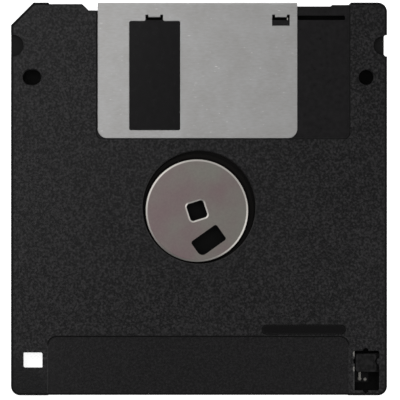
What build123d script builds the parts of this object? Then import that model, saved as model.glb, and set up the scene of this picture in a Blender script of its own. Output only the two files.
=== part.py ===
"""A 90 mm (3.5 inch) high-density floppy disk.

It lies on its label side with the hub side up. The origin is the middle of the label-side face,
+X is the way that the shutter opens, +Y points to the shutter edge and +Z out of the hub side.
Every size is in millimetres.
"""

import os
from math import acos, atan2, cos, degrees, radians, sin, sqrt

from build123d import *

# The film disk, which sets the size of the case round it
disk_radius = 42.9
disk_play = 1.0
film = 0.08
film_hole_play = 0.35  # round the hub

# The case
case_thickness = 3.3
plate = 1.0  # flat wall of each half
side_wall = 1.1
front_band = 5.1  # from the disk's pocket to the shutter edge
corner_radius = 2.2
chamfer_leg = 5.4  # the one cut corner
edge_round = 0.4
seam_bevel = 0.12
rib_wall = 0.9
pocket_wall = 1.0

# The shutter and the recess that it runs in
sheet = 0.2
shutter_width = 47.75
shutter_height = 32.5
shutter_travel = 12.5
shutter_land = 9.0  # from the open shutter to the side of the case
shutter_below_face = 0.1
shutter_gap = 0.05
shutter_corner = 2.3
fold_radius = 0.5
broken_edge = 0.1  # bevel on the stamped edges of the hub-side leaf
recess_side_gap = 0.4
recess_corner = 1.5
shutter_window_shift = 13.65
shutter_window_width = 12.2
shutter_window_inset = 4.45
shutter_window_margin = 1.95
shutter_window_corner = 0.4

# How far the shutter edge of the case steps back from the outline, and where
shoulder_length = 8.1
shoulder_drop = 0.38
lever_notch_lead = 2.15
lever_notch_overrun = 3.75
lever_notch_drop = 1.9
fold_drop = 0.93
fold_drop_margin = 4.7
stop_drop = 0.58
stop_drop_margin = 0.4

# The two tabs lanced from the shutter, and the guide slot that they run in
tab_inset = 3.55
tab_reach = 1.75
tab_width = 2.8
tab_bend = 0.1
window_tab_shift = -0.1
corner_tab_inset = 3.9
lance_width = 4.2
lance_ear_width = 0.68
lance_ear_rise = 0.35
lance_flare = 0.45
corner_lance_length = 2.0
slot_width = 1.1
slot_play = 0.25
slot_end_gap = 1.45
slot_corner = 0.28
slot_to_hollow = 0.1

# Opening for the read and write heads, in both halves
head_window_shift = 0.5
head_window_width = 9.0
head_window_length = 24.0
head_window_inset = 0.5
head_window_corner = 0.5

# Locating holes and the hub hole
locating_inset = 5.0
locating_from_front = 17.9
locating_radius = 1.8
locating_slot_length = 4.4
locating_mouth = 0.25
hub_hole_play = 1.25  # round the hub
hub_hole_bevel = 0.25
hub_lip_width = 0.7
hub_lip_height = 0.2

# The hub, and the ring that glues the film to it
hub_radius = 12.25
hub_sheet = 0.3
hub_height = 1.85
hub_bevel_width = 0.45
hub_bevel_height = 0.22
hub_flange_width = 3.1
hub_floor_gap = 0.05
hub_shift_x = -0.5  # the disk floats in the case and lies a little off its middle
hub_shift_y = -0.8
glue_thickness = 0.05
glue_width = 2.3
spindle_square = 4.25
spindle_square_corner = 0.75
spindle_square_turn = 17.5
spindle_bevel_width = 0.4
spindle_bevel_depth = 0.2
drive_slot_length = 7.5
drive_slot_width = 4.4
drive_slot_corner = 0.6
drive_slot_large_corner = 1.4
drive_slot_distance = 7.7
drive_slot_bearing = -68.7
drive_slot_turn = 35.5

# The fabric liners, and the strip that lifts one of them
liner = 0.25
liner_inner_gap = 0.5
liner_outer_gap = 1.7
liner_window_margin = 1.0
lifter_sheet = 0.12
lifter_pocket = 0.3
lifter_gap = 0.15
lifter_left = 15.0
lifter_ahead = 22.0
lifter_width = 9.0
lifter_length = 18.0

# Label recesses, mould marks and finger grips
label_left_margin = 8.9
label_right_margin = 9.3
label_depth = 0.2
label_back_height = 14.0
label_front_gap = 5.8
label_corner = 2.1
label_edge_step = 0.12
label_wall_slope = 50  # degrees from upright
bar_inset = 19.95
bar_height = 15.75
bar_length = 20.1
bar_width = 2.45
bar_corner = 1.1
bar_depth = 0.35
arrow_inset = 4.4
arrow_from_front = 5.4
arrow_length = 4.6
arrow_head_width = 3.6
arrow_head_length = 2.3
arrow_stem_width = 1.4
arrow_depth = 0.25
grip_from_front = 10.3
grip_left_radius = 2.6
grip_left_inset = 0.45
grip_right_radius = 2.25
grip_right_inset = 1.0
grip_depth = 0.85
grip_cut_depth = 0.75
grip_cut_length = 5.2
grip_cut_corner = 0.6

# The square density hole in the rear left corner
density_inset = 5.2
density_from_rear = 8.4
density_width = 4.7
density_length = 3.75
density_corner = 0.4

# The window of the write-protect slider in the rear right corner, seen from the hub side
protect_window_inset = 1.9
protect_window_width = 5.9
protect_window_from_rear = 1.2
protect_window_length = 9.5
protect_window_corner = 0.35
nail_notch_inset = 5.1
nail_notch_radius = 0.65
detent_from_rear = 8.2
detent_radius = 0.95
detent_reach = 0.6
detent_notch = 0.3
protect_window_bevel_width = 0.4
protect_window_bevel_depth = 0.22
tongue_width = 3.35
tongue_length = 2.45
tongue_from_rear = 3.1
tongue_below_face = 1.2
click_nub_rise = 0.32
click_nubs = ((1.25, 0.85, 0.6), (2.55, 0.7, 0.5))  # from the tongue's corner, and radius
click_stem_radius = 0.35
protect_hole_inset = 5.15
protect_hole_from_rear = 7.95
protect_hole_width = 4.0
protect_hole_length = 3.5
protect_hole_corner = 0.4

# The slider and the chamber that it slides in
chamber_margin = 0.85
chamber_from_rear = 11.0
slider_from_rear = 10.05
slider_length = 4.5
slider_side_gap = 0.1
slider_gap = 0.06
slider_corner = 0.7
slider_slab = 0.42
thumb_left_gap = 0.3
thumb_right_gap = 0.7
thumb_below_face = 0.25
thumb_thickness = 0.55
thumb_edge_gap = 0.13
thumb_corner = 0.6
thumb_rim = 0.5
thumb_dish = 0.15
thumb_neck_gap = 0.2

# Pins and sockets that join the halves, by their distance from the sides and from front or rear
pin_radius = 0.9
socket_clearance = 0.05
socket_wall = 0.75
socket_end_gap = 0.1
front_left_pin = (13.0, 7.4)
right_pin = (5.4, 26.0)
rear_left_pin = (12.5, 5.8)
rear_right_pin = (13.5, 4.8)

# The wire spring that closes the shutter
wire = 0.35
wire_clearance = 0.05
coil_radius = 2.2
coil_turns = 2
coil_half_turns = 3  # the part of those turns that drops
coil_step = 0.23  # how far each of those half turns drops
coil_inset = 10.7
coil_from_front = 11.0
coil_rib_gap = 0.5
spring_tip_behind = 1.0
spring_hook = 1.0
spring_bend_radius = 0.5
anchor_inset = 4.0
anchor_from_front = 4.6
anchor_hook = 1.2
anchor_post_radius = 0.8

# How far cutting shapes run past what they cut
overshoot = 1.0

# Heights
parting = case_thickness / 2
inner_low = plate
inner_high = case_thickness - plate
recess_depth = sheet + shutter_below_face + shutter_gap
leaf_low = shutter_below_face
leaf_high = case_thickness - shutter_below_face
flange_floor = inner_low + hub_floor_gap
glue_floor = flange_floor + hub_sheet
film_floor = glue_floor + glue_thickness
hub_face = flange_floor + hub_height
hub_flange_radius = hub_radius + hub_flange_width
hub_hole_radius = hub_radius + hub_hole_play
film_hole_radius = hub_radius + film_hole_play
slider_low = inner_low + slider_gap
slider_high = inner_high - slider_gap
slab_top = slider_low + slider_slab
thumb_high = case_thickness - thumb_below_face
thumb_low = thumb_high - thumb_thickness
tongue_high = case_thickness - tongue_below_face

# Sides of the case, and the middles of the hub hole and the disk
pocket_radius = disk_radius + disk_play
half_width = pocket_radius + side_wall
half_length = pocket_radius + (side_wall + front_band) / 2
rear = -half_length
inner_x = half_width - side_wall
inner_rear = rear + side_wall
hub_hole_y = inner_rear + pocket_radius
disk_x = hub_shift_x
disk_y = hub_hole_y + hub_shift_y
locating_x = half_width - locating_inset
locating_y = half_length - locating_from_front
grip_y = half_length - grip_from_front
label_left = label_left_margin - half_width
label_right = half_width - label_right_margin
density_x = density_inset - half_width
density_y = rear + density_from_rear

# The shutter, its recess, its window and its tabs
shutter_right = half_width - shutter_land - shutter_travel
shutter_left = shutter_right - shutter_width
shutter_low = half_length - shutter_height
recess_left = shutter_left - recess_side_gap
recess_right = shutter_right + shutter_travel + recess_side_gap / 2
recess_low = shutter_low - recess_side_gap / 2
shutter_window_x = shutter_left + shutter_window_shift
shutter_window_top = half_length - shutter_window_inset
tab_root_y = half_length - tab_inset
window_tab_x = shutter_window_x + window_tab_shift
corner_tab_x = shutter_right - corner_tab_inset
slot_top = tab_root_y + sheet + slot_play
slot_left = window_tab_x - tab_width / 2 - slot_end_gap
slot_right = corner_tab_x + tab_width / 2 + shutter_travel + slot_end_gap
inner_front = slot_top + slot_to_hollow
inner_chamfer = inner_front - half_length + chamfer_leg + side_wall * (sqrt(2) - 1)
head_window_top = hub_hole_y + pocket_radius - head_window_inset
head_window_low = head_window_top - head_window_length
head_window_left = head_window_shift - head_window_width / 2
head_window_right = head_window_shift + head_window_width / 2

# The write-protect corner
protect_window_right = half_width - protect_window_inset
protect_window_left = protect_window_right - protect_window_width
protect_window_bottom = rear + protect_window_from_rear
protect_window_top = protect_window_bottom + protect_window_length
nail_notch_x = half_width - nail_notch_inset
detent_y = rear + detent_from_rear
tongue_right = protect_window_left + tongue_width
tongue_bottom = rear + tongue_from_rear
tongue_top = tongue_bottom + tongue_length
chamber_left = protect_window_left - chamber_margin
chamber_top = rear + chamber_from_rear
slider_left = chamber_left + slider_side_gap
slider_right = inner_x - slider_side_gap
slider_top = rear + slider_from_rear
slider_bottom = slider_top - slider_length
thumb_left = protect_window_left + thumb_left_gap
thumb_right = protect_window_right - thumb_right_gap
thumb_bottom = slider_bottom + thumb_edge_gap
thumb_top = slider_top - thumb_edge_gap
neck_left = tongue_right + thumb_neck_gap
pin_places = [
    (front_left_pin[0] - half_width, half_length - front_left_pin[1]),
    (half_width - right_pin[0], half_length - right_pin[1]),
    (rear_left_pin[0] - half_width, rear + rear_left_pin[1]),
    (half_width - rear_right_pin[0], rear + rear_right_pin[1]),
]


def unit(angle):
    """The direction at an angle from +X, in degrees."""
    return Vector(cos(radians(angle)), sin(radians(angle)))


# The spring's two straight arms touch its coil at these angles, and its post stands in the bend.
# Both ends of the coil are flat, and the half turns between them are tilted.
coil_centre = Vector(half_width - coil_inset, half_length - coil_from_front)
tip = Vector(corner_tab_x + (tab_width + wire) / 2 + wire_clearance, tab_root_y - spring_tip_behind)
anchor = Vector(half_width - anchor_inset, half_length - anchor_from_front)
to_tip = tip - coil_centre
to_anchor = anchor - coil_centre
tip_angle = degrees(atan2(to_tip.Y, to_tip.X) - acos(coil_radius / to_tip.length))
anchor_angle = degrees(atan2(to_anchor.Y, to_anchor.X) + acos(coil_radius / to_anchor.length))
tip_contact = coil_centre + coil_radius * unit(tip_angle)
anchor_contact = coil_centre + coil_radius * unit(anchor_angle)
anchor_direction = (anchor - anchor_contact).normalized()
hook_direction = Vector(anchor_direction.Y, -anchor_direction.X)
post_offset = anchor_post_radius + wire / 2 + wire_clearance
anchor_post = anchor + post_offset * (hook_direction - anchor_direction)
flat_sweep = (360 * coil_turns + tip_angle - anchor_angle - 180 * coil_half_turns) / 2
tilted_radius = sqrt(coil_radius**2 + (coil_step / 2) ** 2)
coil_drop = coil_step * coil_half_turns
coil_low = (inner_low + inner_high - coil_drop) / 2
coil_high = coil_low + coil_drop


def rectangle_between(left, bottom, right, top, mode=Mode.ADD):
    """A rectangle of the sketch in hand, by its sides."""
    with Locations(((left + right) / 2, (bottom + top) / 2)):
        Rectangle(right - left, top - bottom, mode=mode)


def block(left, bottom, right, top, low, high, mode=Mode.ADD, corner=0):
    """A straight block of the part in hand, added or cut, with rounded upright edges."""
    with BuildSketch(Plane.XY.offset(low)) as area:
        rectangle_between(left, bottom, right, top)
        if corner:
            fillet(area.vertices(), corner)
    extrude(area.sketch, amount=high - low, mode=mode)


def tube(places, radius, low, high, mode=Mode.ADD):
    """Round posts or holes of the part in hand."""
    with BuildSketch(Plane.XY.offset(low)) as area:
        with Locations(*places):
            Circle(radius)
    extrude(area.sketch, amount=high - low, mode=mode)


# The plain outline of the case: three round corners, one cut corner and the grip on the right
with BuildSketch() as case_outline:
    Rectangle(2 * half_width, 2 * half_length)
    cut_corner = case_outline.vertices().group_by(Axis.X)[0].sort_by(Axis.Y)[-1]
    fillet(case_outline.vertices() - [cut_corner], corner_radius)
    chamfer(case_outline.vertices().group_by(Axis.X)[0].sort_by(Axis.Y)[-1], chamfer_leg)
    with BuildSketch(mode=Mode.PRIVATE) as grip_cut:
        with Locations((half_width, grip_y)):
            RectangleRounded(2 * grip_cut_depth, grip_cut_length, grip_cut_corner)
    add(grip_cut.sketch, mode=Mode.SUBTRACT)

# What is cut from the shutter edge, from left to right
with BuildSketch() as front_steps:
    with BuildLine():
        beyond = half_length + overshoot
        lever_start = shutter_left - lever_notch_lead
        shoulder_start = lever_start - lever_notch_drop + shoulder_drop - shoulder_length
        lever_end = shutter_left + shutter_travel + lever_notch_overrun
        fold_end = recess_right - fold_drop_margin
        stop_end = recess_right - stop_drop_margin
        shoulder = half_length - shoulder_drop
        lever = half_length - lever_notch_drop
        fold = half_length - fold_drop
        stop = half_length - stop_drop
        Polyline(
            (shoulder_start, beyond),
            (shoulder_start, shoulder),
            (lever_start - lever_notch_drop + shoulder_drop, shoulder),
            (lever_start, lever),
            (lever_end, lever),
            (lever_end + lever_notch_drop - fold_drop, fold),
            (fold_end, fold),
            (fold_end + fold_drop - stop_drop, stop),
            (stop_end, stop),
            (stop_end + stop_drop, half_length),
            (stop_end + stop_drop, beyond),
            close=True,
        )
    make_face()

# The hollow that both halves share, with the round wall that the film turns in
with BuildSketch() as hollow:
    rectangle_between(-inner_x, inner_rear, inner_x, inner_front)
    chamfer(hollow.vertices().group_by(Axis.X)[0].sort_by(Axis.Y)[-1], inner_chamfer)
    fillet(hollow.vertices().group_by(Axis.X)[-1], corner_radius - side_wall)

with BuildSketch() as pocket_ring:
    with Locations((0, hub_hole_y)):
        Circle(pocket_radius + pocket_wall)
        Circle(pocket_radius, mode=Mode.SUBTRACT)
    add(hollow.sketch, mode=Mode.INTERSECT)

with BuildSketch() as grips:
    with Locations((half_width - grip_right_inset, grip_y)):
        Circle(grip_right_radius)
    with Locations((grip_left_inset - half_width, grip_y)):
        Circle(grip_left_radius)

with BuildSketch() as grip_blocks:
    with Locations((half_width - grip_right_inset, grip_y)):
        Circle(grip_right_radius + rib_wall)
    with Locations((grip_left_inset - half_width, grip_y)):
        Circle(grip_left_radius + rib_wall)
    add(hollow.sketch, mode=Mode.INTERSECT)

with BuildSketch() as locating_slot:
    with Locations((-locating_x, locating_y)):
        SlotOverall(locating_slot_length, 2 * locating_radius)

with BuildSketch() as locating_slot_wall:
    with Locations((-locating_x, locating_y)):
        SlotOverall(locating_slot_length + 2 * rib_wall, 2 * (locating_radius + rib_wall))


# The hub-side half: it has the hub hole, the locating holes and the guide slot of the shutter
with BuildPart() as hub_side_shell:
    with BuildSketch(Plane.XY.offset(parting)):
        add(case_outline.sketch)
    extrude(amount=parting)
    fillet(hub_side_shell.faces().sort_by(Axis.Z)[-1].edges(), edge_round)
    chamfer(hub_side_shell.faces().sort_by(Axis.Z)[0].edges(), seam_bevel)

    # The hollow, and the walls that stand in it
    with BuildSketch(Plane.XY.offset(parting)):
        add(hollow.sketch)
    extrude(amount=inner_high - parting, mode=Mode.SUBTRACT)
    with BuildSketch(Plane.XY.offset(parting)):
        add(pocket_ring.sketch)
        add(grip_blocks.sketch)
        with Locations((density_x, density_y)):
            Rectangle(density_width + 2 * rib_wall, density_length + 2 * rib_wall)
        rectangle_between(chamber_left - rib_wall, inner_rear, chamber_left, chamber_top + rib_wall)
        rectangle_between(chamber_left, chamber_top, inner_x, chamber_top + rib_wall)
    extrude(amount=inner_high - parting)
    tube([(0, hub_hole_y)], hub_hole_radius + hub_lip_width, inner_high - hub_lip_height, inner_high)
    tube(pin_places, pin_radius + socket_clearance + socket_wall, parting, inner_high)
    tube(pin_places, pin_radius + socket_clearance, parting, inner_high, Mode.SUBTRACT)

    # The walls of the two locating holes reach down to the other half
    tube([(locating_x, locating_y)], locating_radius + rib_wall, inner_low, inner_high)
    with BuildSketch(Plane.XY.offset(inner_low)):
        add(locating_slot_wall.sketch)
    extrude(amount=inner_high - inner_low)

    # The shutter edge, the shutter's recess and its guide slot
    with BuildSketch(Plane.XY.offset(parting)):
        add(front_steps.sketch)
    extrude(amount=parting, mode=Mode.SUBTRACT)
    with BuildSketch(Plane.XY.offset(case_thickness - recess_depth)) as recess:
        rectangle_between(recess_left, recess_low, recess_right, half_length + overshoot)
        fillet(recess.vertices().group_by(Axis.Y)[0], recess_corner)
    extrude(amount=recess_depth, mode=Mode.SUBTRACT)
    block(
        slot_left, slot_top - slot_width, slot_right, slot_top,
        inner_high, case_thickness, Mode.SUBTRACT, corner=slot_corner,
    )
    block(
        head_window_left, head_window_low, head_window_right, head_window_top,
        inner_high, case_thickness, Mode.SUBTRACT, corner=head_window_corner,
    )

    # The hub hole and the mouths of the locating holes
    tube([(0, hub_hole_y)], hub_hole_radius, parting, case_thickness, Mode.SUBTRACT)
    tube([(locating_x, locating_y)], locating_radius, inner_low, case_thickness, Mode.SUBTRACT)
    with BuildSketch(Plane.XY.offset(inner_low)):
        add(locating_slot.sketch)
    extrude(amount=case_thickness - inner_low, mode=Mode.SUBTRACT)

    # The recess of the back label, which runs over the rear edge, and the bar above it
    label_top = rear + label_back_height
    with BuildSketch(Plane.XY.offset(case_thickness - label_depth)) as back_label:
        rectangle_between(label_left, rear - overshoot, label_right, label_top)
        fillet(back_label.vertices().group_by(Axis.Y)[-1], label_corner)
    extrude(amount=label_depth, taper=-label_wall_slope, mode=Mode.SUBTRACT)
    block(
        label_left, rear, label_right, rear + label_edge_step,
        parting, case_thickness, Mode.SUBTRACT,
    )
    with BuildSketch(Plane.XY.offset(case_thickness - bar_depth)):
        with Locations((half_width - bar_inset, rear + bar_height)):
            RectangleRounded(bar_length, bar_width, bar_corner)
    extrude(amount=bar_depth, mode=Mode.SUBTRACT)

    # Finger grips, the density hole and the window of the write-protect slider
    with BuildSketch(Plane.XY.offset(case_thickness - grip_depth)):
        add(grips.sketch)
    extrude(amount=grip_depth, mode=Mode.SUBTRACT)
    with BuildSketch(Plane.XY.offset(parting)):
        with Locations((density_x, density_y)):
            RectangleRounded(density_width, density_length, density_corner)
    extrude(amount=parting, mode=Mode.SUBTRACT)
    with BuildSketch(Plane.XY.offset(inner_high)) as protect_window:
        rectangle_between(
            protect_window_left, protect_window_bottom, protect_window_right, protect_window_top
        )
        fillet(protect_window.vertices(), protect_window_corner)
        with Locations((protect_window_left + detent_radius - detent_notch, detent_y)):
            Circle(detent_radius)
        with Locations((nail_notch_x, protect_window_top), (nail_notch_x, protect_window_bottom)):
            Circle(nail_notch_radius)
        with Locations((protect_window_right + detent_radius - detent_reach, detent_y)):
            Circle(detent_radius, mode=Mode.SUBTRACT)
    extrude(amount=plate, mode=Mode.SUBTRACT)

    # The tongue below that window, with the two nubs and the rib that the slider clicks over
    block(chamber_left - rib_wall, tongue_bottom, tongue_right, tongue_top, parting, tongue_high)
    for nub_x, nub_y, nub_radius in click_nubs:
        nub_centre = (
            protect_window_left + nub_x,
            tongue_bottom + nub_y,
            tongue_high + click_nub_rise - nub_radius,
        )
        with Locations(nub_centre):
            Sphere(nub_radius, arc_size1=0, align=(Align.CENTER, Align.CENTER, Align.MIN))
    stem_x, stem_y, _ = click_nubs[0]
    with BuildSketch(Plane.XZ.offset(-tongue_bottom - stem_y)):
        with Locations((protect_window_left + stem_x, tongue_high)):
            Circle(click_stem_radius)
    extrude(amount=stem_y - tongue_length)

    # Bevels at the mouths of the locating holes and the hub hole, and on the left of the slider's window
    outside = hub_side_shell.faces().sort_by(Axis.Z)[-1]
    for mouth_x in (locating_x, -locating_x):
        mouth = outside.inner_wires().sort_by_distance((mouth_x, locating_y, case_thickness))[0]
        chamfer(mouth.edges(), locating_mouth)
        outside = hub_side_shell.faces().sort_by(Axis.Z)[-1]
    hub_mouth = outside.inner_wires().sort_by_distance((0, hub_hole_y, case_thickness))[0]
    chamfer(hub_mouth.edges(), hub_hole_bevel)
    outside = hub_side_shell.faces().sort_by(Axis.Z)[-1]
    window_edges = outside.edges().filter_by(Axis.Y)
    window_edges = window_edges.filter_by(lambda edge: abs(edge.center().X - protect_window_left) < sheet)
    chamfer(window_edges, protect_window_bevel_width, protect_window_bevel_depth, reference=outside)

# The label-side half: it has the pins, the post of the spring and the recess of the front label
with BuildPart() as label_side_shell:
    with BuildSketch():
        add(case_outline.sketch)
    extrude(amount=parting)
    fillet(label_side_shell.faces().sort_by(Axis.Z)[0].edges(), edge_round)
    chamfer(label_side_shell.faces().sort_by(Axis.Z)[-1].edges(), seam_bevel)

    # The hollow, the walls that stand in it and the pins
    with BuildSketch(Plane.XY.offset(inner_low)):
        add(hollow.sketch)
    extrude(amount=parting - inner_low, mode=Mode.SUBTRACT)
    with BuildSketch(Plane.XY.offset(inner_low)):
        add(pocket_ring.sketch)
        add(grip_blocks.sketch)
        with Locations((density_x, density_y)):
            Rectangle(density_width + 2 * rib_wall, density_length + 2 * rib_wall)
        rectangle_between(chamber_left - rib_wall, inner_rear, chamber_left, chamber_top + rib_wall)
        rectangle_between(chamber_left, chamber_top, inner_x, chamber_top + rib_wall)
        with Locations(*pin_places):
            Circle(pin_radius + socket_clearance + socket_wall)
    extrude(amount=parting - inner_low)
    tube(pin_places, pin_radius, inner_low, inner_high - socket_end_gap)

    # The post that holds the spring's fixed arm, and the rib below its coil
    tube([anchor_post], anchor_post_radius, inner_low, inner_high - socket_end_gap)
    with BuildSketch(Plane.XY.offset(inner_low)):
        with Locations(coil_centre):
            Circle(coil_radius + wire / 2 + coil_rib_gap + rib_wall)
            Circle(coil_radius + wire / 2 + coil_rib_gap, mode=Mode.SUBTRACT)
        rectangle_between(
            0, coil_centre.Y - coil_radius / 2, half_width, half_length, mode=Mode.SUBTRACT
        )
    extrude(amount=parting - inner_low)

    # The shutter edge and the shutter's recess
    with BuildSketch():
        add(front_steps.sketch)
    extrude(amount=parting, mode=Mode.SUBTRACT)
    with BuildSketch() as front_recess:
        rectangle_between(recess_left, recess_low, recess_right, half_length + overshoot)
        fillet(front_recess.vertices().group_by(Axis.Y)[0], recess_corner)
    extrude(amount=recess_depth, mode=Mode.SUBTRACT)
    block(
        head_window_left, head_window_low, head_window_right, head_window_top,
        0, inner_low, Mode.SUBTRACT, corner=head_window_corner,
    )

    # The recess of the front label, the arrow and the pocket of the lifter
    with BuildSketch(Plane.XY.offset(label_depth)) as front_label:
        rectangle_between(label_left, rear - overshoot, label_right, recess_low - label_front_gap)
        fillet(front_label.vertices().group_by(Axis.Y)[-1], label_corner)
    extrude(amount=-label_depth, taper=-label_wall_slope, mode=Mode.SUBTRACT)
    block(
        label_left, rear, label_right, rear + label_edge_step,
        0, parting, Mode.SUBTRACT,
    )
    with BuildSketch() as arrow:
        with BuildLine():
            arrow_x = half_width - arrow_inset
            arrow_y = half_length - arrow_from_front
            neck = arrow_y + arrow_length / 2 - arrow_head_length
            Polyline(
                (arrow_x, arrow_y + arrow_length / 2),
                (arrow_x + arrow_head_width / 2, neck),
                (arrow_x - arrow_head_width / 2, neck),
                close=True,
            )
        make_face()
        rectangle_between(
            arrow_x - arrow_stem_width / 2, arrow_y - arrow_length / 2,
            arrow_x + arrow_stem_width / 2, neck,
        )
    extrude(amount=arrow_depth, mode=Mode.SUBTRACT)
    with BuildSketch(Plane.XY.offset(inner_low - lifter_pocket)):
        with Locations((-lifter_left, hub_hole_y + lifter_ahead)):
            Rectangle(lifter_width + 2 * lifter_gap, lifter_length + 2 * lifter_gap)
    extrude(amount=lifter_pocket, mode=Mode.SUBTRACT)

    # The density hole and the hole that the write-protect slider covers
    with BuildSketch():
        with Locations((density_x, density_y)):
            RectangleRounded(density_width, density_length, density_corner)
        with Locations((half_width - protect_hole_inset, rear + protect_hole_from_rear)):
            RectangleRounded(protect_hole_width, protect_hole_length, protect_hole_corner)
    extrude(amount=parting, mode=Mode.SUBTRACT)

# The write-protect slider: a slab below the tongue and a dished thumb pad above it, joined beside it
with BuildPart() as write_protect_slider:
    block(
        slider_left, slider_bottom, slider_right, slider_top,
        slider_low, slab_top, corner=slider_corner,
    )
    block(
        neck_left, slider_bottom, slider_right, slider_top,
        slider_low, slider_high, corner=slider_corner,
    )
    block(neck_left, thumb_bottom, thumb_right, thumb_top, slider_high, thumb_low)
    block(
        thumb_left, thumb_bottom, thumb_right, thumb_top,
        thumb_low, thumb_high, corner=thumb_corner,
    )
    block(
        thumb_left + thumb_rim, thumb_bottom + thumb_rim, thumb_right - thumb_rim, thumb_top - thumb_rim,
        thumb_high - thumb_dish, thumb_high, Mode.SUBTRACT, corner=thumb_corner,
    )
    tube(
        [(thumb_right + detent_radius - detent_notch, detent_y)], detent_radius,
        slider_high, case_thickness, Mode.SUBTRACT,
    )

# The shutter: one strip of sheet folded round the edge of the case, with two tabs bent inwards
with BuildPart() as shutter:
    with BuildSketch(Plane.YZ.offset(shutter_left)):
        with BuildSketch(mode=Mode.PRIVATE) as wrap_inside:
            rectangle_between(
                shutter_low - overshoot, leaf_low + sheet, half_length - sheet, leaf_high - sheet
            )
            fillet(wrap_inside.vertices().group_by(Axis.X)[-1], fold_radius - sheet)
        with BuildSketch(mode=Mode.PRIVATE) as wrap_outside:
            rectangle_between(shutter_low, leaf_low, half_length, leaf_high)
            fillet(wrap_outside.vertices().group_by(Axis.X)[-1], fold_radius)
        add(wrap_outside.sketch)
        add(wrap_inside.sketch, mode=Mode.SUBTRACT)
    extrude(amount=shutter_width)
    fillet(shutter.edges().filter_by(Axis.Z).group_by(Axis.Y)[0], shutter_corner)
    window_left = shutter_window_x - shutter_window_width / 2
    window_right = shutter_window_x + shutter_window_width / 2
    window_low = shutter_low + shutter_window_margin
    block(
        window_left, window_low, window_right, shutter_window_top,
        0, parting, Mode.SUBTRACT, corner=shutter_window_corner,
    )

    # On the hub side the window runs on into the opening that its tab is lanced from
    bend_y = tab_root_y + sheet + tab_bend
    bend_z = leaf_high - sheet - tab_bend
    with BuildSketch(Plane.XY.offset(parting)) as hub_side_window:
        rectangle_between(window_left, window_low, window_right, shutter_window_top)
        fillet(hub_side_window.vertices(), shutter_window_corner)
        rectangle_between(
            window_tab_x - lance_width / 2, shutter_window_top - sheet,
            window_tab_x + lance_width / 2, bend_y,
        )
        flares = hub_side_window.vertices().filter_by_position(
            Axis.X, window_tab_x - lance_width, window_tab_x + lance_width
        ).filter_by_position(Axis.Y, shutter_window_top - sheet / 2, shutter_window_top + sheet / 2)
        fillet(flares, lance_flare)
    extrude(amount=parting, mode=Mode.SUBTRACT)
    block(
        corner_tab_x - lance_width / 2, tab_root_y - corner_lance_length,
        corner_tab_x + lance_width / 2, bend_y, parting, case_thickness, Mode.SUBTRACT,
    )

    # The stamped edges of the hub-side leaf are broken, so that they don't catch in the drive
    leaf = shutter.faces().filter_by(Axis.Z).sort_by(Axis.Z)[-1]
    fold_line = half_length - fold_radius
    stamped = leaf.edges().filter_by(
        lambda edge: min(abs(edge.center().Y - fold_line), abs(edge.center().Y - bend_y)) > tab_bend
    )
    chamfer(stamped, broken_edge)

    # Each tab bends inwards between two short relief cuts
    for tab_x in (window_tab_x, corner_tab_x):
        with BuildSketch(Plane.XY.offset(parting)):
            with Locations((tab_x, bend_y)):
                with GridLocations(lance_width - lance_ear_width, 1, 2, 1):
                    Rectangle(lance_ear_width, 2 * lance_ear_rise)
        extrude(amount=parting, mode=Mode.SUBTRACT)
        with BuildSketch(Plane.YZ.offset(tab_x - tab_width / 2)):
            with BuildLine():
                CenterArc((bend_y, bend_z), sheet + tab_bend, 90, 90)
                CenterArc((bend_y, bend_z), tab_bend, 90, 90)
                Line((bend_y, leaf_high), (bend_y, leaf_high - sheet))
                Polyline(
                    (tab_root_y, bend_z),
                    (tab_root_y, leaf_high - tab_reach),
                    (tab_root_y + sheet, leaf_high - tab_reach),
                    (tab_root_y + sheet, bend_z),
                )
            make_face()
        extrude(amount=tab_width)

# The film disk
with BuildPart() as magnetic_disk:
    with BuildSketch(Plane.XY.offset(film_floor)):
        with Locations((disk_x, disk_y)):
            Circle(disk_radius)
            Circle(film_hole_radius, mode=Mode.SUBTRACT)
    extrude(amount=film)

# The ring of glue film between the disk and the flange of its hub
with BuildPart() as hub_adhesive_ring:
    with BuildSketch(Plane.XY.offset(glue_floor)):
        with Locations((disk_x, disk_y)):
            Circle(hub_flange_radius)
            Circle(hub_flange_radius - glue_width, mode=Mode.SUBTRACT)
    extrude(amount=glue_thickness)

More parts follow.
